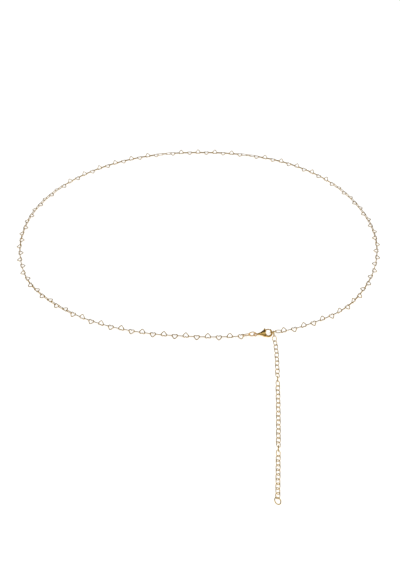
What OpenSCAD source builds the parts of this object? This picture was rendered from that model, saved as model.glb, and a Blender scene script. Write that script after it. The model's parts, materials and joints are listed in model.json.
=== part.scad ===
// Waist chain of fine gold wire: heart links joined by small ovals in one long loop,
// closed by a lobster clasp, with a free tail of short oval links to let it out.
// It lies on a flat surface at z = 0. The origin is the middle of the waist loop.
// The chain runs clockwise, seen from above, from the clasp's tail round the back to its hook.

/* [Waist loop] */
// Width of the loop as it lies, between the middles of the wires
loop_w = 249; // [180:1:320]
// Depth of the loop as it lies, from its front to its back
loop_d = 195.5; // [150:0.5:260]

/* [Heart links] */
// Width over both lobes
heart_w = 4; // [3.7:0.1:6]
// Height from the lobes to the tip
heart_h = 3.5; // [3:0.1:4.5]
// Thickness of the wire
heart_wire = 0.5; // [0.3:0.02:0.54]
// Outer diameter of one lobe
lobe_d = 2.2; // [2:0.02:2.5]
// Depth of the notch below the tops of the lobes
notch_drop = 0.5; // [0.4:0.02:0.9]
// Radius of the wire's middle round the tip
tip_r = 0.6; // [0.3:0.02:0.8]

/* [Oval links] */
// Length of the ovals between the hearts
oval_l = 4.9; // [4.2:0.1:6]
// Width of the ovals
oval_w = 1.9; // [1.8:0.1:2.6]
// Thickness of the wire
oval_wire = 0.42; // [0.3:0.02:0.5]
// Least gap between two links that hang in each other
link_gap = 0.13; // [0.1:0.01:0.2]
// Width of the last oval, which hangs in the hook's ring
last_oval_w = 2.8; // [2.4:0.1:3]

/* [Extender] */
// Number of links in the free tail
extender_links = 38; // [10:1:45]
// Length of a link of the tail
tail_link_l = 4.1; // [3.4:0.05:4.6]
// Width of a link of the tail
tail_link_w = 2.7; // [2.4:0.05:3.2]
// Thickness of the wire
tail_wire = 0.4; // [0.3:0.02:0.46]
// How much closer the links lie at the free end than at the clasp
slack = 0.54; // [0:0.02:0.6]
// Outer diameter of the last ring
end_ring_d = 4.2; // [3.8:0.1:5.5]
// Thickness of the last ring's wire
end_ring_wire = 0.5; // [0.4:0.02:0.7]

/* [Rings at the clasp] */
// Least gap where a ring hangs in the clasp or in another ring
ring_gap = 0.2; // [0.12:0.01:0.3]
// Outer diameter of the ring that the hook holds
hook_ring_d = 4.4; // [4:0.1:5.5]
// Thickness of its wire
hook_ring_wire = 0.5; // [0.4:0.02:0.6]
// Outer diameter of the ring in the clasp's eye
eye_ring_d = 4.6; // [3.6:0.1:5]
// Thickness of its wire
eye_ring_wire = 0.6; // [0.4:0.02:0.64]
// Length of the oval jump ring between that ring and the first heart
jump_oval_l = 5.2; // [4.4:0.1:6.5]
// Width of the oval jump ring
jump_oval_w = 3.3; // [2.8:0.1:4.2]
// Thickness of its wire
jump_oval_wire = 0.54; // [0.4:0.02:0.6]

/* [Clasp] */
// Length over all
clasp_l = 12.2; // [10.5:0.1:14]
// Diameter of the round hole inside the hook
hook_hole_d = 3.3; // [3:0.1:4]
// Thickness of the hook
hook_wire = 1.2; // [1:0.05:1.4]
// Width of the body at its widest
body_w = 4.9; // [4.4:0.1:5.4]
// Thickness of the body at its thickest
body_t = 2.6; // [2.2:0.1:3]
// Thickness of the neck before the eye
neck_d = 1.4; // [1.1:0.1:1.8]
// Hole of the eye at the tail
eye_hole_d = 1.3; // [1.2:0.05:1.6]
// Thickness of the eye's ring
eye_wire = 0.6; // [0.5:0.05:0.7]
// Thickness of the lever
lever_t = 0.8; // [0.6:0.05:1]
// Width of the lever's arm
lever_w = 0.7; // [0.5:0.05:0.9]
// Clearance on each side of the lever in its slot
slot_gap = 0.1; // [0.06:0.01:0.15]
// Diameter of the hinge pin
pin_d = 0.6; // [0.5:0.05:0.7]
// Clearance round the hinge pin
pin_gap = 0.11; // [0.05:0.01:0.12]

/* [Hidden] */
$fn = 24;

// Route of the loop, drawn clockwise from the middle of the clasp's hole, in millimetres
// on a loop that is drawn_w by drawn_d. It is stretched to loop_w by loop_d.
drawn_w = 249;
drawn_d = 195.5;
loop_route = [
    [43, -95], [22, -97.3], [0, -97.5], [-32.5, -94.5], [-63.5, -86], [-90.5, -71],
    [-111.5, -50.5], [-122, -25.5], [-124.5, 0], [-120, 25], [-107.5, 48.5], [-88, 69],
    [-62.5, 85], [-32.5, 95], [0, 98], [32.5, 95.5], [63.5, 86.5], [89.5, 70],
    [108, 49], [119.5, 25], [124.5, 0], [122, -25.5], [112, -50.5], [93.5, -73.5],
    [66, -88.5]
];
// Route of the extender from where it hangs in the hook's ring: across, along,
// and the share of its drop from that ring to the surface that it has made there
extender_route = [
    [0, 0, 0], [0.4, -4, 0.8], [0.8, -8, 1], [0.9, -18, 1], [-0.6, -47, 1], [-2.5, -74, 1],
    [-6.3, -118, 1]
];
// How the hearts lie along the chain: the share of its length at which each stretch ends, and
// 1 where their outer sides touch the surface, -1 where their inner sides do, 0 where they lie flat
lean_chart = [
    [0.15, 1], [0.374, 0], [0.495, -1], [0.505, 1], [0.604, -1], [0.614, 1], [0.721, -1],
    [0.9, 0], [1, 1]
];
// Extender links that stand upright, the others lean to the left and right in turn
upright_links = [0, 11, 27];
tail_side_lean = 26;
end_ring_lean = 28;
hook_ring_lean = 52;
// Clearance of the hearts above the surface. Other links are clear of it by twice as much.
surface_gap = 0.015;
// Height of the wire's middle where hearts and ovals hang in each other
line_h = oval_w / 2 + 2 * surface_gap;

gold = [0.86, 0.68, 0.36];
pale_gold = [0.93, 0.79, 0.52];
bright_gold = [0.9, 0.7, 0.3];

// Heart: distances from its middle line, at the height of the lobes' centres
lobe_cr = (lobe_d - heart_wire) / 2;
lobe_x = (heart_w - lobe_d) / 2;
heart_half = lobe_x + lobe_cr;
tip_reach = heart_h - lobe_d / 2 - heart_wire / 2;
lobe_c = [lobe_x, 0];
tip_c = [0, tip_r - tip_reach];
// A lobe's flats touch its round middle line, and one of them lies square to the pull
lobe_turn = 45;
lobe_corner = lobe_cr / cos(lobe_turn / 2);
tip_turn = 45;
heart_right = [
    for (k = [2.5 : -1 : -0.5]) lobe_c + lobe_corner * [cos(k * lobe_turn), sin(k * lobe_turn)],
    tip_c + tip_r * [sin(tip_turn), -cos(tip_turn)]
];
heart_line = [
    [0, lobe_cr - notch_drop], each heart_right, tip_c - [0, tip_r],
    for (k = [len(heart_right) - 1 : -1 : 0]) [-heart_right[k].x, heart_right[k].y]
];
wire_sides = 5;
// Leans at which a heart's tip or its lobes touch the surface, and of a heart that lies flat
flat_lean = 8;
drop_h = line_h - heart_wire / 2 - surface_gap;
tip_lean = asin(drop_h / tip_reach);
lobe_lean = asin(drop_h / lobe_cr);

oval_half = (oval_l - oval_wire) / 2;
jump_oval_half = (jump_oval_l - jump_oval_wire) / 2;
tail_half = (tail_link_l - tail_wire) / 2;
tail_half_w = (tail_link_w - tail_wire) / 2;
end_ring_r = (end_ring_d - end_ring_wire) / 2;
hook_ring_r = (hook_ring_d - hook_ring_wire) / 2;
eye_ring_r = (eye_ring_d - eye_ring_wire) / 2;

// Clasp, measured from the middle of the hook's hole, with its nose along +x
hook_r = (hook_hole_d + hook_wire) / 2;
eye_r = (eye_hole_d + eye_wire) / 2;
eye_x = hook_r + hook_wire / 2 + eye_r + eye_wire / 2 - clasp_l;
clasp_lean = 25;
clasp_h = norm([body_w / 2 * sin(clasp_lean), body_t / 2 * cos(clasp_lean)]);
bulb_x = -2.2;
bulb_l = 3.4;
neck_x = eye_x + eye_r + neck_d / 2 - 0.1;
// Bearings from the middle of the hole: the lever's tip and pin, and the ends of the hook
lever_tip = 61;
lever_to = 140;
hook_end = 64;
hook_start = -160;
pin_at = hook_r * [cos(lever_to), sin(lever_to)];
// The lever's tip and the hook's are cut round the pin, so that the lever swings in past the hook
swing_r = 2 * hook_r * sin((lever_to - lever_tip) / 2);
boss_d = 1.6;
knob_d = 1.3;
knob_at = (hook_r + 0.85) * [cos(127), sin(127)];

// Places along the route, measured from the hook's hole: + towards the tail, - past the nose
eye_ring_lean = 96;
eye_ring_from = -eye_x;
eye_ring_to = eye_ring_from + 2 * eye_ring_r;
eye_ring_h = eye_ring_r * sin(eye_ring_lean) + eye_ring_wire / 2;
jump_oval_from = eye_ring_to - seat(eye_ring_wire, jump_oval_wire, ring_gap);
jump_oval_to = jump_oval_from + 2 * jump_oval_half;
jump_oval_lean = -30;
jump_oval_h = [2.1, 1.45];
first_heart = jump_oval_to - seat(jump_oval_wire, heart_wire, ring_gap) + heart_half;
// The first heart hangs in the raised oval, so it leans more than the others of its kind
first_heart_lean = 28;
first_heart_h = [1.6, 1];
hook_ring_from = hook_hole_d / 2 - hook_ring_wire / 2 - ring_gap;
hook_ring_to = hook_ring_from + 2 * hook_ring_r;
hook_ring_h = hook_ring_r * sin(hook_ring_lean) + hook_ring_wire / 2;
last_oval_from = hook_ring_to - seat(hook_ring_wire, oval_wire, ring_gap);
last_oval_to = last_oval_from + 2 * oval_half;
last_oval_lean = -5;
last_heart = last_oval_to - seat(oval_wire, heart_wire, ring_gap) + heart_half;

// Lengths along the loop
route_steps = 12;
stretched_route = [for (p = loop_route) [p.x * loop_w / drawn_w, p.y * loop_d / drawn_d, 0]];
route_table = distances(stretched_route, true);
loop_l = route_table[len(route_table) - 1][0];
tight_pitch = 2 * (heart_half + oval_half - seat(heart_wire, oval_wire, link_gap));
hearts_l = loop_l - first_heart - last_heart;
// An odd number of pitches, so that the last heart points into the loop and the first one out
pitches = 2 * ceil((hearts_l / tight_pitch - 1) / 2) + 1;
pitch = hearts_l / pitches;
half_way = 2 * round(pitches / 4);

// Extender: from the near, upper side of the hook's ring
tail_lie = tail_half_w * sin(tail_side_lean) + tail_wire / 2 + 2 * surface_gap;
hang_in = [0, 0.55, 0.25];
hang_at = let (p = along(-(hook_ring_from + hook_ring_r)))
    [p.x, p.y - hook_ring_r * cos(hook_ring_lean), hook_ring_h + hook_ring_r * sin(hook_ring_lean)] + hang_in;
extender_path = [for (p = extender_route)
    [hang_at.x + p.x, hang_at.y + p.y, hang_at.z + p.z * (tail_lie - hang_at.z)]];
extender_table = distances(extender_path, false);
tail_pitch = 2 * tail_half - seat(tail_wire, tail_wire, link_gap);

// Distance between the middles of two wires that hang in each other
function seat(wire_a, wire_b, gap) = (wire_a + wire_b) / 2 + gap;

function bearing(from, to) = atan2(to.y - from.y, to.x - from.x);

// A smooth curve through the points of a path, at a place counted in points
function between(a, b, c, d, t) =
    ((2 * b) + (c - a) * t + (2 * a - 5 * b + 4 * c - d) * t * t
     + (3 * b - a - 3 * c + d) * t * t * t) / 2;
function on_loop(path, u) =
    let (n = len(path), i = floor(u), t = u - i)
    between(path[(i + n - 1) % n], path[i % n], path[(i + 1) % n], path[(i + 2) % n], t);
function on_tail(path, u) =
    let (n = len(path), i = min(floor(u), n - 2), t = u - i)
    between(path[max(i - 1, 0)], path[i], path[i + 1], path[min(i + 2, n - 1)], t);
function on_path(path, closed, u) = closed ? on_loop(path, u) : on_tail(path, u);

// Table of length along a path against place in points
function distances(path, closed) =
    let (n = (closed ? len(path) : len(path) - 1) * route_steps)
    [for (k = 0, s = 0; k <= n;
          s = s + norm(on_path(path, closed, (k + 1) / route_steps) - on_path(path, closed, k / route_steps)),
          k = k + 1) [s, k / route_steps]];

// A point of the loop at a length from the hook's hole, and one of the extender
function along(s) = on_loop(stretched_route, lookup((s + loop_l) % loop_l, route_table));
function down_tail(s) = on_tail(extender_path, lookup(s, extender_table));

// Hearts point outwards and inwards in turn, and lean to the side that the chart gives
function tip_side(i) = i % 2 == 0 ? 1 : -1;
// A stretch ends at a heart whose tip lies low, so that it can lean away from the next one
function stretch_end(c) = let (i = round(c[0] * pitches)) tip_side(i) * c[1] < 0 ? i + 1 : i;
function lean_side(i) = [for (c = lean_chart) if (i <= stretch_end(c)) c[1]][0];
function heart_lean(i) = i == 0 ? first_heart_lean
    : lean_side(i) == 0 ? tip_side(i) * flat_lean
    : lean_side(i) * (tip_side(i) == lean_side(i) ? tip_lean : lobe_lean);
function heart_place(i) = first_heart + i * pitch;
// An oval stands across both its hearts, or lies flat where they lean far apart
function oval_lean(i) = let (a = heart_lean(i), b = heart_lean(i + 1))
    (a + b) / 2 - (abs(a - b) > 90 ? 0 : 90);

function is_upright(k) = len([for (u = upright_links) if (u == k) u]) > 0;
function tail_lean(k) = is_upright(k) ? 90
    : (k % 2 == 0 ? 1 : -1) * (k == extender_links ? end_ring_lean : tail_side_lean);
function tail_place(k) = k * tail_pitch - slack * k * (k - 1) / (2 * extender_links);
// How far link k rises above the extender's line to stand on the surface, and the higher of two
function rise(k) = let (last = k == extender_links, half_w = last ? end_ring_r : tail_half_w,
                        wire = last ? end_ring_wire : tail_wire)
    k < 1 || k > extender_links ? 0 : max(0, half_w * abs(sin(tail_lean(k))) + wire / 2 - tail_lie);
function joint_rise(k) = [0, 0, max(rise(k - 1), rise(k))];

// Bent wire: an arc about c from one bearing to another, and a straight piece
module bent(c, r, from, to, wire)
    translate([c.x, c.y, 0]) rotate([0, 0, from]) rotate_extrude(angle = to - from)
        translate([r, 0]) circle(d = wire);

module straight(from, to, wire)
    translate([from.x, from.y, 0]) rotate([0, 0, bearing(from, to)]) rotate([0, 90, 0])
        cylinder(d = wire, h = norm(to - from));

module round_link(r, wire) rotate_extrude() translate([r, 0]) circle(d = wire);

// Wire of a few flat sides along a closed line that runs clockwise, mitred at its corners
function unit(v) = v / norm(v);
function left_of(v) = [-v.y, v.x];
function mitre(line, i) =
    let (n = len(line),
         before = left_of(unit(line[i] - line[(i + n - 1) % n])),
         after = left_of(unit(line[(i + 1) % n] - line[i])))
    (before + after) / (1 + before * after);

module wire_loop(line, wire) {
    n = len(line);
    points = [for (i = [0 : n - 1], j = [0 : wire_sides - 1])
        let (a = 90 + 360 * j / wire_sides, p = line[i] + wire / 2 * cos(a) * mitre(line, i))
        [p.x, p.y, wire / 2 * sin(a)]];
    faces = [for (i = [0 : n - 1], j = [0 : wire_sides - 1])
        let (here = i * wire_sides, there = (i + 1) % n * wire_sides, k = (j + 1) % wire_sides)
        [here + j, there + j, there + k, here + k]];
    polyhedron(points, faces);
}

// Link with round ends and straight sides, long along x
module oval_link(l, w, wire) {
    end_r = (w - wire) / 2;
    end_x = (l - w) / 2;
    for (s = [-1, 1]) {
        bent([s * end_x, 0], end_r, s > 0 ? -90 : 90, s > 0 ? 90 : 270, wire);
        straight([-end_x, s * end_r], [end_x, s * end_r], wire);
    }
}

// Heart with its tip along -y, and the pull of the chain along x through both lobes
module heart_link() wire_loop(heart_line, heart_wire);

// Puts a link with its middle between two points and its length along them.
// A lean over 0 puts the side that lies left of the way from a to b lower.
module hang(a, b, lean) {
    way = b - a;
    translate((a + b) / 2)
        rotate([0, -asin(way.z / norm(way)), atan2(way.y, way.x)])
            rotate([-lean, 0, 0]) children();
}

// Puts a link on the loop, from one length to another and at two heights
module on_chain(from, to, lean, from_h = line_h, to_h = line_h)
    hang(along(from) + [0, 0, from_h], along(to) + [0, 0, to_h], lean) children();

// Puts link k on the extender's line, its ends as high as the links it hangs in ask
module on_tail_line(k, from, to)
    hang(down_tail(from) + joint_rise(k), down_tail(to) + joint_rise(k + 1), tail_lean(k)) children();

module heart_at(i) {
    ends_h = i == 0 ? first_heart_h : [line_h, line_h];
    on_chain(heart_place(i) - heart_half, heart_place(i) + heart_half, heart_lean(i), ends_h[0], ends_h[1])
        mirror([0, tip_side(i) > 0 ? 1 : 0, 0]) heart_link();
}

module oval_at(i)
    on_chain(heart_place(i + 0.5) - oval_half, heart_place(i + 0.5) + oval_half, oval_lean(i))
        oval_link(oval_l, oval_w, oval_wire);

// First half of the chain, over the left side to the middle of the back
module left_chain() color(gold)
    for (i = [0 : half_way - 1]) {
        heart_at(i);
        oval_at(i);
    }

// Second half, over the right side to the oval that hangs in the hook's ring
module right_chain() color(gold) {
    for (i = [half_way : pitches]) heart_at(i);
    for (i = [half_way : pitches - 1]) oval_at(i);
    on_chain(-last_oval_from, -last_oval_to, -last_oval_lean, hook_ring_h, line_h)
        oval_link(oval_l, last_oval_w, oval_wire);
}

// Free tail of short oval links that lies towards the front
module extender_chain() color(pale_gold)
    for (k = [0 : extender_links - 1])
        on_tail_line(k, tail_place(k), tail_place(k) + 2 * tail_half)
            oval_link(tail_link_l, tail_link_w, tail_wire);

// Larger last ring of the free tail
module end_ring() color(pale_gold) {
    from = tail_place(extender_links - 1) + 2 * tail_half - seat(tail_wire, end_ring_wire, ring_gap);
    on_tail_line(extender_links, from, from + 2 * end_ring_r) round_link(end_ring_r, end_ring_wire);
}

// Ring that the hook holds, which carries the last oval and the extender
module hook_ring() color(gold)
    on_chain(-hook_ring_from, -hook_ring_to, hook_ring_lean, hook_ring_h, hook_ring_h)
        round_link(hook_ring_r, hook_ring_wire);

// Ring through the clasp's eye
module eye_ring() color(bright_gold)
    on_chain(eye_ring_from, eye_ring_to, eye_ring_lean, eye_ring_h, eye_ring_h)
        round_link(eye_ring_r, eye_ring_wire);

// Oval jump ring between that ring and the first heart
module oval_jump_ring() color(bright_gold)
    on_chain(jump_oval_from, jump_oval_to, jump_oval_lean, jump_oval_h[0], jump_oval_h[1])
        oval_link(jump_oval_l, jump_oval_w, jump_oval_wire);

// Puts the clasp on the loop, its eye and its nose on the chain's line and its far side raised
module at_clasp()
    hang(along(-eye_x) + [0, 0, clasp_h], along(-hook_ring_from) + [0, 0, clasp_h], -clasp_lean)
        translate([-(eye_x + hook_ring_from) / 2, 0, 0]) children();

// Cast body and hook in one, with the eye, the lever's slot and the hinge pin
module clasp_body() color(bright_gold) at_clasp() {
    difference() {
        bent([0, 0], hook_r, hook_start, hook_end, hook_wire);
        translate([pin_at.x, pin_at.y, -hook_wire]) rotate([0, 0, -30])
            rotate_extrude(angle = 60) square([swing_r + slot_gap, 2 * hook_wire]);
    }
    translate([eye_x, 0, 0]) round_link(eye_r, eye_wire);
    difference() {
        hull() {
            translate([neck_x, 0, 0]) sphere(d = neck_d);
            translate([bulb_x, 0, 0]) scale([bulb_l, body_w, body_t]) sphere(d = 1, $fn = 32);
        }
        cylinder(d = hook_hole_d, h = body_t + 1, center = true);
        translate([pin_at.x - boss_d, pin_at.y - boss_d / 2 - slot_gap, -lever_t / 2 - slot_gap])
            cube([3 * boss_d, body_w, lever_t + 2 * slot_gap]);
    }
    translate([pin_at.x, pin_at.y, 0]) cylinder(d = pin_d, h = lever_t + 4 * slot_gap, center = true);
}

// Sprung lever that closes the hook, with a thumb knob beside its pin
module clasp_lever() color(bright_gold) at_clasp()
    linear_extrude(lever_t, center = true) difference() {
        union() {
            intersection() {
                difference() {
                    circle(r = hook_r + lever_w / 2);
                    circle(r = hook_r - lever_w / 2);
                }
                polygon([[0, 0], for (a = [lever_to / 4, lever_to / 2, lever_to])
                    4 * hook_r * [cos(a), sin(a)]]);
                translate(pin_at) circle(r = swing_r);
            }
            translate(pin_at) circle(d = boss_d);
            translate(knob_at) circle(d = knob_d);
        }
        translate(pin_at) circle(d = pin_d + 2 * pin_gap);
    }

left_chain();
right_chain();
extender_chain();
end_ring();
hook_ring();
eye_ring();
oval_jump_ring();
clasp_body();
clasp_lever();
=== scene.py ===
# %% [markdown]
# A waist chain lies on a pale surface. It is a long loop of tiny wire hearts joined by ovals,
# with a lobster clasp at the front and a free tail of short ovals. Most wires are about half a
# millimetre thick, so the picture is made by hundreds of small links more than by any one form.
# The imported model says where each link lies. This script bends rounder wire in the same places.

# %% Load the fixed frame
import json
import math

import bmesh
import bpy
import numpy as np
from mathutils import Matrix, Vector


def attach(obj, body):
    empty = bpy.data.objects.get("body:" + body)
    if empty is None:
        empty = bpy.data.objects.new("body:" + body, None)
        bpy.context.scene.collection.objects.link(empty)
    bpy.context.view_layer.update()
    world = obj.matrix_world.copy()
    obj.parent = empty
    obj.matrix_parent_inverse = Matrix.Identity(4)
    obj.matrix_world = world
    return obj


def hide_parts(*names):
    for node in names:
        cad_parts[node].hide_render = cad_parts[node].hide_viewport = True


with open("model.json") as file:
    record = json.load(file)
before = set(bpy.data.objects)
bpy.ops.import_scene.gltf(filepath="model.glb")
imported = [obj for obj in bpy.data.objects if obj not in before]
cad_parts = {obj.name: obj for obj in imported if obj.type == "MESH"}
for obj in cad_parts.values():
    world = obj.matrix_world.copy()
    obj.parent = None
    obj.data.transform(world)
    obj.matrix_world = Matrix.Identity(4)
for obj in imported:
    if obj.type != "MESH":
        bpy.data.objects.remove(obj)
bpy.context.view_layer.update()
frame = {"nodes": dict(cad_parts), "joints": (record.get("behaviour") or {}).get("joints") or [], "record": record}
MM = 0.001

# %% [markdown]
# A material is a small net of nodes. Colours are written as sRGB hex codes, as in a paint program,
# and one function turns them to the linear values of light. Another adds a node, sets it and
# links it in one call, so that a material reads from top to bottom.

# %% A helper that adds one node, and the colours
def linear(hex_code):
    """An sRGB hex colour as the linear values that a shader works with."""
    channels = [int(hex_code[i:i + 2], 16) / 255 for i in (1, 3, 5)]
    return [c / 12.92 if c <= 0.04045 else ((c + 0.055) / 1.055) ** 2.4 for c in channels] + [1]


def add_node(tree, kind, values=None, links=None, **settings):
    """Adds a node, sets its properties and input values, and links its inputs."""
    node = tree.nodes.new(kind)
    for name, value in settings.items():
        setattr(node, name, value)
    for name, value in (values or {}).items():
        node.inputs[name].default_value = value
    for name, socket in (links or {}).items():
        tree.links.new(socket, node.inputs[name])
    return node


# %% [markdown]
# The metal is gold plate on brass wire. Wire is drawn through a die, so it is smooth and very
# shiny. A cast clasp is tumbled and then polished by hand, which leaves a softer, slightly
# rippled shine. One Principled shader makes both. Its metallic value is 1, its colour is the
# colour of the reflection, and low roughness gives the sharp highlights. The plate's tone drifts
# a little over about 3 mm, from one link to the next. The marks of the polish are a few
# hundredths of a millimetre wide. They are drawn coarser, at 0.3 mm on the wire and 0.8 mm on the
# casting, because finer ones would only be noise in a picture of this size.

# %% A plated and polished gold
TONE_MM = 3
RIPPLE_MM = 0.02
# Roughness varies between these shares of its typical value
SMOOTHEST = 0.7
DULLEST = 1.4


def polished_gold(name, light, deep, roughness, grain_mm, ripple):
    """Gold plate: two tones close to each other, and a grain in its shine and its surface."""
    material = bpy.data.materials.new(name)
    material.use_nodes = True
    tree = material.node_tree
    tree.nodes.clear()
    place = add_node(tree, "ShaderNodeTexCoord")
    tone = add_node(tree, "ShaderNodeTexNoise", {"Scale": 1 / (TONE_MM * MM), "Detail": 2},
                    {"Vector": place.outputs["Object"]})
    colour = add_node(tree, "ShaderNodeMix", {"A": linear(deep), "B": linear(light)},
                      {"Factor": tone.outputs["Fac"]}, data_type="RGBA")
    grain = add_node(tree, "ShaderNodeTexNoise", {"Scale": 1 / (grain_mm * MM), "Detail": 4},
                     {"Vector": place.outputs["Object"]})
    shine = add_node(tree, "ShaderNodeMapRange",
                     {"To Min": roughness * SMOOTHEST, "To Max": roughness * DULLEST},
                     {"Value": grain.outputs["Fac"]})
    bump = add_node(tree, "ShaderNodeBump", {"Strength": ripple, "Distance": RIPPLE_MM * MM},
                    {"Height": grain.outputs["Fac"]})
    shader = add_node(tree, "ShaderNodeBsdfPrincipled", {"Metallic": 1},
                      {"Base Color": colour.outputs["Result"], "Roughness": shine.outputs["Result"],
                       "Normal": bump.outputs["Normal"]})
    add_node(tree, "ShaderNodeOutputMaterial", None, {"Surface": shader.outputs["BSDF"]})
    print(name, "has", len(tree.nodes), "nodes")
    return material


# Gold plate on drawn wire: narrow, sharp highlights along each wire
DRAWN_GOLD = polished_gold("drawn_gold_wire", "#C4A45E", "#AE8E48", 0.16, 0.3, 0.15)
# A thinner, paler plate on the tail's wire
PALE_GOLD = polished_gold("pale_gold_wire", "#DABA6C", "#C8A858", 0.18, 0.3, 0.15)
# Gold plate on a tumbled casting: wider, softer highlights
CAST_GOLD = polished_gold("cast_polished_gold", "#E0BA6E", "#CCA458", 0.22, 0.8, 0.25)

# %% [markdown]
# A link is a round wire bent to a line and closed. The tool for that is spin: it carries a small
# circle round a centre and leaves a bent wire behind it. A straight stretch is the last circle
# extruded and moved. Six sides are enough for wire this thin when its faces are shaded smooth.
# The free tail has few links, so its wire can have eight.
# All links are modelled in millimetres near the origin, where the numbers are easy to read.

# %% Bending wire
WIRE_SIDES = 6
# Points closer than this, in millimetres, are one point
WELD = 1e-4


def wire_end(bm, at, heading, wire, sides=WIRE_SIDES):
    """A circle of wire at a point, facing along a heading in the XY plane."""
    turn = Matrix.Rotation(heading, 4, "Z") @ Matrix.Rotation(math.pi / 2, 4, "Y")
    made = bmesh.ops.create_circle(bm, segments=sides, radius=wire / 2,
                                   matrix=Matrix.Translation(at) @ turn)
    edges = dict.fromkeys(edge for vert in made["verts"] for edge in vert.link_edges)
    return made["verts"] + list(edges)


def bend(bm, end, centre, degrees, steps):
    """Carries a wire's end round a centre, and returns its new end."""
    made = bmesh.ops.spin(bm, geom=end, cent=centre, axis=(0, 0, 1),
                          angle=math.radians(degrees), steps=steps, use_merge=degrees == 360)
    return made["geom_last"]


def draw_straight(bm, end, move):
    """Carries a wire's end straight along, and returns its new end."""
    edges = [part for part in end if isinstance(part, bmesh.types.BMEdge)]
    made = bmesh.ops.extrude_edge_only(bm, edges=edges)["geom"]
    verts = [part for part in made if isinstance(part, bmesh.types.BMVert)]
    bmesh.ops.translate(bm, verts=verts, vec=move)
    return verts + [part for part in made if isinstance(part, bmesh.types.BMEdge)
                    and all(vert in verts for vert in part.verts)]


def close_up(bm, name):
    """Welds the seams, turns every face outwards, and stores the shape as a mesh."""
    bmesh.ops.remove_doubles(bm, verts=bm.verts, dist=WELD)
    bmesh.ops.recalc_face_normals(bm, faces=bm.faces)
    for face in bm.faces:
        face.smooth = True
    mesh = bpy.data.meshes.new(name)
    bm.to_mesh(mesh)
    bm.free()
    print(name, len(mesh.polygons), "faces")
    return mesh


# %% [markdown]
# The heart is drawn as half a heart and mirrored. From the notch the wire turns up, goes over
# the lobe in one round sweep, runs straight down the side and turns in at the tip. Where two
# arcs meet, their centres and the joint lie on one line, so the wire never kinks. A heart link is
# pressed after it is bent, so its wire is a little flatter than it is wide. That is why a heart
# flashes or darkens as a whole when it turns.

# %% The heart link
# The lobe's arc has its centre at (LOBE_X, 0), and the tip's at (0, TIP_Y)
HEART_WIRE = 0.5
PRESSED = 0.8
LOBE_R = 0.85
NOTCH_R = 0.25
TIP_R = 0.6
LOBE_X = 0.9
TIP_Y = -1.45
LOBE_TOP = LOBE_R + HEART_WIRE / 2
TIP_END = TIP_Y - TIP_R - HEART_WIRE / 2


def heart_link():
    """Half a heart from the notch over the lobe to the tip, and its mirror image."""
    bm = bmesh.new()
    notch = Vector((0, math.sqrt((LOBE_R + NOTCH_R) ** 2 - LOBE_X ** 2), 0))
    lobe = Vector((LOBE_X, 0, 0))
    tip = Vector((0, TIP_Y, 0))
    # The bearings from the lobe's centre at which the notch's arc and the straight side join it
    notch_way = math.degrees(math.atan2(notch.y, notch.x - LOBE_X))
    side_way = math.degrees(math.atan2(tip.y, tip.x - LOBE_X)
                            + math.acos((LOBE_R - TIP_R) / (tip - lobe).length))
    out = Vector((math.cos(math.radians(side_way)), math.sin(math.radians(side_way)), 0))
    end = wire_end(bm, notch - Vector((0, NOTCH_R, 0)), 0, HEART_WIRE)
    end = bend(bm, end, notch, notch_way - 90, steps=2)
    end = bend(bm, end, lobe, side_way - notch_way, steps=7)
    end = draw_straight(bm, end, (tip + out * TIP_R) - (lobe + out * LOBE_R))
    bend(bm, end, tip, -90 - side_way, steps=2)
    half = bm.verts[:] + bm.edges[:] + bm.faces[:]
    bmesh.ops.mirror(bm, geom=half, axis="X", merge_dist=WELD)
    bmesh.ops.scale(bm, verts=bm.verts, vec=(1, 1, PRESSED))
    return close_up(bm, "heart_link")


# %% [markdown]
# Ovals are simpler: two bends and two straight runs, soldered shut. The solder is plated over, so
# an oval shows no seam and its last run ends exactly where its first circle is.

# %% Oval links
def oval_link(length, width, wire, steps=5, sides=WIRE_SIDES):
    """A soldered link with round ends and straight sides, long along X."""
    bm = bmesh.new()
    bend_r = (width - wire) / 2
    half_run = (length - width) / 2
    end = wire_end(bm, (half_run, -bend_r, 0), 0, wire, sides)
    end = bend(bm, end, (half_run, 0, 0), 180, steps)
    end = draw_straight(bm, end, (-2 * half_run, 0, 0))
    end = bend(bm, end, (-half_run, 0, 0), 180, steps)
    draw_straight(bm, end, (2 * half_run, 0, 0))
    return close_up(bm, "oval_link")


# %% [markdown]
# A jump ring is wire cut from a coil and pushed together, so its turn isn't quite full and its two
# cut ends stay flat. That seam is the line by which a jump ring is told from a cast one. The saw
# leaves a burr round each end, which a file takes off, so those edges get a tiny bevel.

# %% Jump rings
# The width of the seam, and the bevel of the cut ends as a share of the wire
SEAM = 0.03
FILED = 0.06


def jump_ring(length, width, wire, steps=16, sides=12):
    """A ring or oval cut from a coil: its butted ends stand a hair apart on one straight side."""
    bm = bmesh.new()
    bend_r = (width - wire) / 2
    half_run = (length - width) / 2
    start = wire_end(bm, (SEAM / 2, -bend_r, 0), 0, wire, sides)
    end = draw_straight(bm, start, (half_run, 0, 0))
    end = bend(bm, end, (half_run + SEAM / 2, 0, 0), 180, steps)
    end = draw_straight(bm, end, (-2 * half_run - SEAM, 0, 0))
    end = bend(bm, end, (-half_run - SEAM / 2, 0, 0), 180, steps)
    draw_straight(bm, end, (half_run, 0, 0))
    bmesh.ops.remove_doubles(bm, verts=bm.verts, dist=WELD)
    open_edges = [edge for edge in bm.edges if edge.is_boundary]
    cuts = bmesh.ops.holes_fill(bm, edges=open_edges, sides=sides)["faces"]
    rims = list(dict.fromkeys(edge for face in cuts for edge in face.edges))
    bmesh.ops.bevel(bm, geom=rims, offset=wire * FILED, segments=2, profile=0.5,
                    affect="EDGES", material=-1)
    return close_up(bm, "jump_ring")


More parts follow.
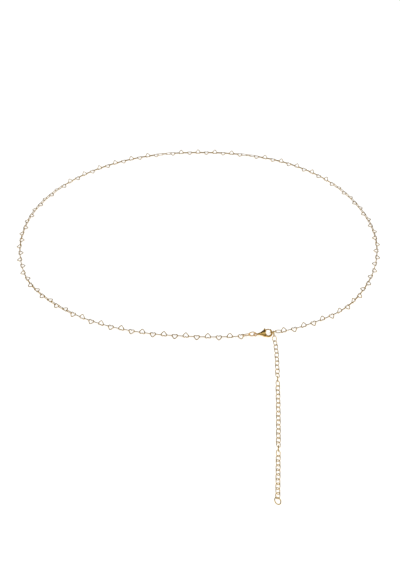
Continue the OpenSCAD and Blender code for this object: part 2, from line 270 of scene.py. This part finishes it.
# %% [markdown]
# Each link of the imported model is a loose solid. Its own points say how it lies. The direction
# in which they spread least is the link's normal. In an oval they spread most along its length.
# A heart is lopsided, and the cubed distances of its points add up to an arrow towards its tip.
# So the finer links can be laid exactly over the plain ones, wherever the chain was routed. An
# axis found in this way has no front or back. One fixed direction settles that, so that each
# link lies the same way round in every run.

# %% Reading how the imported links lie
SAME_SPOT_MM = 0.001


def loose_solids(node):
    """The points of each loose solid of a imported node, in millimetres."""
    bm = bmesh.new()
    bm.from_mesh(frame["nodes"][node].data)
    bmesh.ops.remove_doubles(bm, verts=bm.verts, dist=SAME_SPOT_MM * MM)
    solids = []
    seen = set()
    for first in bm.verts:
        if first in seen:
            continue
        seen.add(first)
        waiting = [first]
        points = []
        while waiting:
            vert = waiting.pop()
            points.append(vert.co / MM)
            for edge in vert.link_edges:
                other = edge.other_vert(vert)
                if other not in seen:
                    seen.add(other)
                    waiting.append(other)
        solids.append(np.array(points))
    bm.free()
    return solids


# In cubic millimetres: a heart's arrow is longer than this, and an oval's is nearly zero
LOPSIDED = 0.3
# Any direction that isn't square to a link's axis
ONE_WAY = np.array((0.3, 0.5, 0.8))


def lie_of(points):
    """A link's pose: X along an oval or across a heart, Y up a heart, Z the link's normal."""
    middle = points.mean(axis=0)
    spread = points - middle
    axes = np.linalg.svd(spread, full_matrices=False)[2]
    axes *= np.where(axes @ ONE_WAY < 0, -1, 1)[:, None]
    normal = axes[2]
    arrow = (spread * (spread ** 2).sum(axis=1)[:, None]).mean(axis=0)
    arrow -= normal * (arrow @ normal)
    is_heart = np.linalg.norm(arrow) > LOPSIDED
    if is_heart:
        up = -arrow / np.linalg.norm(arrow)
        along = np.cross(up, normal)
    else:
        along = axes[0]
        up = np.cross(normal, along)
    turn = np.column_stack([along, up, normal])
    local = points @ turn
    centre = turn @ ((local.min(axis=0) + local.max(axis=0)) / 2)
    if is_heart:
        centre -= up * (LOBE_TOP + TIP_END) / 2
    pose = Matrix.Identity(4)
    for row in range(3):
        pose[row][0:3] = turn[row]
        pose[row][3] = centre[row]
    return pose, is_heart


# %% [markdown]
# A chain is hundreds of copies of the same few links. Copies are laid into one mesh, because
# one object per half of the chain is quick to draw and rides on its body as a whole.


def add_object(name, data):
    """Puts a mesh, a lamp or a camera in the scene as an object."""
    thing = bpy.data.objects.new(name, data)
    bpy.context.scene.collection.objects.link(thing)
    return thing


def finish_piece(name, mesh, material, body, *nodes):
    """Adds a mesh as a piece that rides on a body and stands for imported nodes."""
    mesh.materials.clear()
    mesh.materials.append(material)
    piece = add_object(name, mesh)
    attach(piece, body)
    if nodes:
        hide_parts(*nodes)
    print(name, len(mesh.polygons), "faces")


def lay_links(name, laid, material, node):
    """Makes one piece from (link mesh, pose) pairs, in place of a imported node."""
    bm = bmesh.new()
    for link, pose in laid:
        known = len(bm.verts)
        bm.from_mesh(link)
        bm.verts.ensure_lookup_table()
        bmesh.ops.transform(bm, matrix=Matrix.Scale(MM, 4) @ pose, verts=bm.verts[known:])
    mesh = bpy.data.meshes.new(name)
    bm.to_mesh(mesh)
    bm.free()
    finish_piece(name, mesh, material, "chain", node)


# %% [markdown]
# The long chain has two kinds of link in turn, and one wider oval at the clasp. They are the same
# drawn wire and the same plate, so one material does for all. Which kind of link a solid is, and
# how it lies, comes from the helper above, so no place is typed in by hand.

# %% The two halves of the long chain
OVAL_L = 4.9
OVAL_W = 1.9
LAST_OVAL_W = 2.8
OVAL_WIRE = 0.42
HEART = heart_link()
OVAL = oval_link(OVAL_L, OVAL_W, OVAL_WIRE)
LAST_OVAL = oval_link(OVAL_L, LAST_OVAL_W, OVAL_WIRE)

for side in ("left", "right"):
    node = side + "_chain"
    laid = []
    for points in loose_solids(node):
        pose, is_heart = lie_of(points)
        width = np.ptp(points @ np.array(pose.col[1][:3]))
        plain = OVAL if width < (OVAL_W + LAST_OVAL_W) / 2 else LAST_OVAL
        laid.append((HEART if is_heart else plain, pose))
    lay_links(side + "_heart_chain", laid, DRAWN_GOLD, node)
    print(node, "has", sum(link is HEART for link, pose in laid), "hearts in", len(laid), "links")

# %% [markdown]
# The free tail lets the waist chain out: the clasp can hook into any of its links. Its ovals are
# shorter and paler than the chain's. Four jump rings join what has to be opened in making: one
# ends the tail, one is held by the hook, and a round and an oval one join the clasp's eye.

# %% The free tail, its end ring and the rings at the clasp
TAIL_L = 4.1
TAIL_W = 2.7
TAIL_WIRE = 0.4
TAIL_LINK = oval_link(TAIL_L, TAIL_W, TAIL_WIRE, steps=8, sides=8)
tail = [(TAIL_LINK, lie_of(points)[0]) for points in loose_solids("extender_chain")]
lay_links("tail_of_short_ovals", tail, PALE_GOLD, "extender_chain")

# Each ring's length, width and wire, and its metal
RINGS = {"end_ring": (4.2, 4.2, 0.5, PALE_GOLD), "hook_ring": (4.4, 4.4, 0.5, DRAWN_GOLD),
         "eye_ring": (4.6, 4.6, 0.6, CAST_GOLD), "oval_jump_ring": (5.2, 3.3, 0.54, CAST_GOLD)}
for node, (length, width, wire, metal) in RINGS.items():
    ring = jump_ring(length, width, wire)
    lay_links(node + "_wire", [(ring, lie_of(loose_solids(node)[0])[0])], metal, node)

# %% [markdown]
# The clasp is a lobster clasp: a cast body with an eye at its tail, a slim neck, a swelling that
# holds the spring, and a hook that curls round to meet a lever. The frame gives three facts. The
# hook's mount is the middle of its hole, the joint is the hinge pin, and both lie in the clasp's
# own plane. The clasp is modelled in that plane, in millimetres, with its nose along X.

# %% The clasp's own plane
HOOK_HOLE = 3.3
HOOK_WIRE = 1.2
HOOK_R = (HOOK_HOLE + HOOK_WIRE) / 2
PIN_BEARING = 140


def round_the_hole(radius, degrees):
    """A point in the clasp's plane, by its distance and bearing from the middle of the hole."""
    turn = math.radians(degrees)
    return Vector((radius * math.cos(turn), radius * math.sin(turn), 0))


hinge = frame["joints"][0]
mounts = {mount["name"]: mount for mount in frame["record"]["mounts"]}
hole = Vector(mounts["clasp_hook"]["pos_m"]) / MM
up = Vector(mounts["clasp_hook"]["axis"]).normalized()
to_pin = Vector(hinge["pos_m"]) / MM - hole
to_pin = (to_pin - up * to_pin.dot(up)).normalized()
nose = Matrix.Rotation(-math.radians(PIN_BEARING), 3, up) @ to_pin
clasp_pose = Matrix.Translation(hole) @ Matrix((nose, up.cross(nose), up)).transposed().to_4x4()
PIN = round_the_hole(HOOK_R, PIN_BEARING)
print("clasp's nose points along", [round(v, 3) for v in nose])

# %% [markdown]
# A casting has no sharp joints between its parts: metal flows from the hook into the swelling
# and the eye. So the parts are first made apart, as a bent wire, a row of ovals skinned
# together and a ring. The Remesh modifier then wraps them in one skin, the hole and the
# lever's slot are cut with Boolean, and a second Remesh with Smooth rounds all edges, as
# tumbling rounds a real casting.

# %% Parts of the casting
# Bearings of the hook's two ends round its hole, and the middle of the eye
HOOK_FROM, HOOK_TO = -160, 64
EYE_X = -8.1
EYE_HOLE, EYE_WIRE = 1.3, 0.6
HOOK_SIDES, BODY_SIDES, EYE_SIDES = 24, 32, 16
# Along the body: place, half width, half thickness
BODY_SECTIONS = [(-7.05, 0.45, 0.45), (-6.4, 0.62, 0.6), (-5.6, 0.78, 0.72), (-4.7, 1.05, 0.86),
                 (-3.85, 1.52, 1.02), (-3.1, 2.05, 1.18), (-2.5, 2.38, 1.28), (-2.0, 2.44, 1.29),
                 (-1.5, 2.22, 1.18), (-1.05, 1.75, 0.93), (-0.7, 1.05, 0.6)]


def casting_parts():
    """The hook, the swelling with its neck, and the eye, as closed shapes that overlap."""
    bm = bmesh.new()
    heading = math.radians(HOOK_FROM + 90)
    first = wire_end(bm, round_the_hole(HOOK_R, HOOK_FROM), heading, HOOK_WIRE, HOOK_SIDES)
    bend(bm, first, (0, 0, 0), HOOK_TO - HOOK_FROM, steps=36)
    rims = [edge for edge in bm.edges if edge.is_boundary]
    bmesh.ops.holes_fill(bm, edges=rims, sides=HOOK_SIDES)
    # The body starts as a circle of radius 1, which each section brings to its own size
    end = wire_end(bm, (BODY_SECTIONS[0][0], 0, 0), 0, 2, BODY_SIDES)
    for k, (x, half_width, half_thickness) in enumerate(BODY_SECTIONS):
        if k > 0:
            end = draw_straight(bm, end, (x - BODY_SECTIONS[k - 1][0], 0, 0))
        verts = [part for part in end if isinstance(part, bmesh.types.BMVert)]
        was_y, was_z = BODY_SECTIONS[k - 1][1:] if k > 0 else (1, 1)
        bmesh.ops.scale(bm, verts=verts, vec=(1, half_width / was_y, half_thickness / was_z),
                        space=Matrix.Translation((-x, 0, 0)))
    rims = [edge for edge in bm.edges if edge.is_boundary]
    bmesh.ops.holes_fill(bm, edges=rims, sides=BODY_SIDES)
    eye_r = (EYE_HOLE + EYE_WIRE) / 2
    end = wire_end(bm, (EYE_X + eye_r, 0, 0), math.pi / 2, EYE_WIRE, EYE_SIDES)
    bend(bm, end, (EYE_X, 0, 0), 360, steps=32)
    return close_up(bm, "casting_parts")


# %% [markdown]
# Drills, saws and files cut a casting to its form. Here a rod, a slab and a swung knife are the
# cutters. Each is a closed shape that goes on past the metal where it leaves it, because a cutter
# that ends flush with a face leaves a torn skin there.

# %% Tools that cut
THROUGH = 4


def rod(radius, at=(0, 0, 0), sides=64):
    """A round cutter that goes right through the clasp."""
    bm = bmesh.new()
    bmesh.ops.create_cone(bm, cap_ends=True, segments=sides, radius1=radius, radius2=radius,
                          depth=THROUGH, matrix=Matrix.Translation(at))
    return close_up(bm, "rod")


def slab(low, high):
    """A square cutter between two corners."""
    low, high = Vector(low), Vector(high)
    bm = bmesh.new()
    place = Matrix.Translation((low + high) / 2) @ Matrix.Diagonal((*(high - low), 1))
    bmesh.ops.create_cube(bm, size=1, matrix=place)
    return close_up(bm, "slab")


def swung_knife(pivot, near, far, degrees, depth):
    """A cutter like a slice of a pipe wall, made by swinging an upright square round a pivot."""
    bm = bmesh.new()
    turn = Matrix.Rotation(math.radians(-degrees / 2), 3, "Z")
    corners = [(near, -depth), (far, -depth), (far, depth), (near, depth)]
    verts = [bm.verts.new(pivot + turn @ Vector((r, 0, z))) for r, z in corners]
    edges = [bm.edges.new((verts[k - 1], verts[k])) for k in range(4)]
    bend(bm, verts + edges, pivot, degrees, steps=16)
    rims = [edge for edge in bm.edges if edge.is_boundary]
    bmesh.ops.holes_fill(bm, edges=rims, sides=4)
    return close_up(bm, "swung_knife")


# %% [markdown]
# One function wraps, cuts and rounds, for the body and the lever alike. A modifier does each job,
# and the result is kept as a plain mesh. Its voxels are sized in millimetres. Small ones keep the
# cut edges crisp, and the Smooth modifier then takes away the tiny steps that they leave.

# %% One skin, cut and rounded
def wrap_and_cut(name, mesh, cutters, coarse, fine, smoothing):
    """One skin over overlapping parts, cut by the cutters, with all edges rounded."""
    thing = add_object(name, mesh)
    skin = thing.modifiers.new("one_skin", "REMESH")
    skin.mode = "VOXEL"
    skin.voxel_size = coarse
    tools = [add_object("cutter", cutter) for cutter in cutters]
    for tool in tools:
        cut = thing.modifiers.new("cut", "BOOLEAN")
        cut.operation = "DIFFERENCE"
        cut.object = tool
    again = thing.modifiers.new("round_edges", "REMESH")
    again.mode = "VOXEL"
    again.voxel_size = fine
    again.use_smooth_shade = True
    soft = thing.modifiers.new("tumble", "SMOOTH")
    soft.factor = 0.5
    soft.iterations = smoothing
    shaped = thing.evaluated_get(bpy.context.evaluated_depsgraph_get())
    done = bpy.data.meshes.new_from_object(shaped)
    for tool in tools + [thing]:
        bpy.data.objects.remove(tool)
    done.name = name
    return done


# %% [markdown]
# Three cuts make the casting a clasp: the round hole, the slot in which the lever swings, and the
# gap past which the lever's tip comes in. The gap is cut on an arc round the hinge pin, because
# that is the way the tip moves.

# %% The casting
LEVER_T = 0.8
LEVER_W = 0.7
LEVER_TIP = 61
SLOT_GAP = 0.1
SWING_R = (round_the_hole(HOOK_R, LEVER_TIP) - PIN).length
BOSS_D = 1.6
# The slot's cutter reaches out past the casting, and the knife starts clear of the boss
SLOT_REACH = 5
KNIFE_FROM = 1.4
KNIFE_SWING = 60
KNIFE_DEPTH = 1.2
slot_z = LEVER_T / 2 + SLOT_GAP
slot = slab((PIN.x - BOSS_D, PIN.y - BOSS_D / 2 - SLOT_GAP, -slot_z),
            (PIN.x + 2 * BOSS_D, PIN.y + SLOT_REACH, slot_z))
hook_hole = rod(HOOK_HOLE / 2)
tip_cut = swung_knife(PIN, KNIFE_FROM, SWING_R + SLOT_GAP, KNIFE_SWING, KNIFE_DEPTH)
casting = wrap_and_cut("casting", casting_parts(), [slot, hook_hole, tip_cut],
                       coarse=0.07, fine=0.055, smoothing=8)
casting.transform(Matrix.Scale(MM, 4) @ clasp_pose)
finish_piece("clasp_casting", casting, CAST_GOLD, "chain", "clasp_body")

# %% [markdown]
# The lever is a second casting: a curved arm that closes the hook, a round boss with a bore for
# the rivet, and a knob for the thumb. It is thinner than its slot, so it swings in freely. Its
# arm goes round the same middle as the hook, so the closed clasp shows a nearly round hole.

# %% The lever
KNOB_OUT = 0.85
KNOB_BEARING = 127
KNOB = round_the_hole(HOOK_R + KNOB_OUT, KNOB_BEARING)
KNOB_D = 1.3
BORE_D = 0.82
ARM_SIDES = 24


def lever_parts():
    """The arm, the boss and the knob, as closed shapes that overlap."""
    bm = bmesh.new()
    heading = math.radians(LEVER_TIP + 90)
    tip = wire_end(bm, round_the_hole(HOOK_R, LEVER_TIP), heading, LEVER_W, ARM_SIDES)
    bend(bm, tip, (0, 0, 0), PIN_BEARING - LEVER_TIP, steps=24)
    rims = [edge for edge in bm.edges if edge.is_boundary]
    bmesh.ops.holes_fill(bm, edges=rims, sides=ARM_SIDES)
    thicker = LEVER_T / LEVER_W
    bmesh.ops.scale(bm, verts=bm.verts, vec=(1, 1, thicker))
    bmesh.ops.create_cone(bm, cap_ends=True, segments=48, radius1=BOSS_D / 2, radius2=BOSS_D / 2,
                          depth=LEVER_T, matrix=Matrix.Translation(PIN))
    squashed = Matrix.Translation(KNOB) @ Matrix.Diagonal((1, 1, LEVER_T / KNOB_D, 1))
    bmesh.ops.create_uvsphere(bm, u_segments=32, v_segments=20, radius=KNOB_D / 2, matrix=squashed)
    return close_up(bm, "lever_parts")


lever = wrap_and_cut("lever", lever_parts(), [rod(BORE_D / 2, PIN)],
                     coarse=0.05, fine=0.04, smoothing=3)
lever.transform(Matrix.Scale(MM, 4) @ clasp_pose)
finish_piece("lever_casting", lever, CAST_GOLD, "lever", "clasp_lever")

# %% [markdown]
# The rivet is a short wire through both cheeks of the slot and the lever's bore, and a hammer
# domes its ends over. A cone of equal radii is a rod, and a bevel of several segments makes the
# dome. It stays with the casting while the lever turns on it.

# %% The rivet
RIVET_D = 0.6
RIVET_L = 2.1
rivet_bm = bmesh.new()
bmesh.ops.create_cone(rivet_bm, cap_ends=True, segments=32, radius1=RIVET_D / 2,
                      radius2=RIVET_D / 2, depth=RIVET_L, matrix=Matrix.Translation(PIN))
rims = [edge for edge in rivet_bm.edges if any(len(face.verts) > 4 for face in edge.link_faces)]
bmesh.ops.bevel(rivet_bm, geom=rims, offset=RIVET_D / 4, segments=4, profile=0.5,
                affect="EDGES", material=-1)
rivet = close_up(rivet_bm, "hinge_rivet")
rivet.transform(Matrix.Scale(MM, 4) @ clasp_pose)
finish_piece("hinge_rivet", rivet, DRAWN_GOLD, "chain")

# %% [markdown]
# The chain lies on white paper on a light table. Paper is matt and hardly shiny. The table's glow
# takes away the small shadows that the links would have under them, so only the wires draw the
# picture.

# %% The white paper
# Half the paper's side in metres, so that no view sees its edge near by
FLOOR_HALF = 40
TABLE_GLOW = 0.68
floor_bm = bmesh.new()
bmesh.ops.create_grid(floor_bm, x_segments=1, y_segments=1, size=FLOOR_HALF)
floor = add_object("floor", close_up(floor_bm, "floor"))
paper = bpy.data.materials.new("white_paper")
paper.use_nodes = True
paper_shader = paper.node_tree.nodes["Principled BSDF"]
paper_shader.inputs["Base Color"].default_value = linear("#FAFAF9")
paper_shader.inputs["Roughness"].default_value = 0.9
paper_shader.inputs["Specular IOR Level"].default_value = 0.1
paper_shader.inputs["Emission Color"].default_value = linear("#FFFFFF")
paper_shader.inputs["Emission Strength"].default_value = TABLE_GLOW
floor.data.materials.append(paper)

# %% [markdown]
# Thin polished wire has no colour of its own to show, only what it mirrors. So the room is pale
# only low down, where the paper seems to go on as a wall, and dark above. The metal mirrors that
# dark and stands out against the white floor. A world shader's Generated coordinates are the
# direction of the gaze, and their Z says how steeply it rises.

# %% The room
# How bright the wall and the dark are, and how steep the gaze is where one fades to the other
WALL = 0.68
DARK = 0.03
WALL_TOP, DARK_FROM = 0.13, 0.18
world = bpy.data.worlds.new("studio")
bpy.context.scene.world = world
world.use_nodes = True
room = world.node_tree
gaze = add_node(room, "ShaderNodeTexCoord")
height = add_node(room, "ShaderNodeSeparateXYZ", None, {"Vector": gaze.outputs["Generated"]})
walls = add_node(room, "ShaderNodeMapRange",
                 {"From Min": WALL_TOP, "From Max": DARK_FROM, "To Min": WALL, "To Max": DARK},
                 {"Value": height.outputs["Z"]})
room.nodes["Background"].inputs["Color"].default_value = linear("#FFFFFF")
room.links.new(walls.outputs["Result"], room.nodes["Background"].inputs["Strength"])
print("the room's shader has", len(room.nodes), "nodes")

# %% [markdown]
# One large soft box in front gives the tops of the wires their highlights. One at each side lights
# the paper from where the wires turn little of the light to the camera. The Standard view
# transform keeps the paper pure white.

# %% The soft boxes
WATTS = 12


def soft_box(name, at, aim, size):
    """A square area light that faces a point."""
    light = bpy.data.lights.new(name, "AREA")
    light.shape = "SQUARE"
    light.size = size
    light.energy = WATTS
    lamp = add_object(name, light)
    lamp.location = at
    lamp.rotation_euler = (Vector(aim) - Vector(at)).to_track_quat("-Z", "Y").to_euler()
    print(name, WATTS, "W at", at)


soft_box("front_soft_box", at=(0, -0.85, 2.05), aim=(0, 0.1, 0), size=2.2)
for side in (-1, 1):
    soft_box("side_soft_box", at=(side * 1.9, 0.1, 1.5), aim=(0, 0.05, 0), size=1.2)
bpy.context.scene.view_settings.view_transform = "Standard"

# %% [markdown]
# The camera looks down on the chain from the front, at about half a metre. Its place, tilt and lens
# are those at which links of one length have the picture's rhythm all round the loop. The chain is
# small, so the near limit of the view is brought down to a centimetre.

# %% The camera
CAMERA_AT = (0.00105, -0.3824, 0.332)
LOOKS_DOWN = 45.41
LENS_MM = 44.33
camera_data = bpy.data.cameras.new("camera")
camera = add_object("camera", camera_data)
camera.location = CAMERA_AT
camera.rotation_euler = (math.radians(90 - LOOKS_DOWN), 0, 0)
camera_data.lens = LENS_MM
camera_data.sensor_width = 36
camera_data.clip_start = 0.01
bpy.context.scene.camera = camera
print("camera at", CAMERA_AT, "looks down by", LOOKS_DOWN, "degrees")
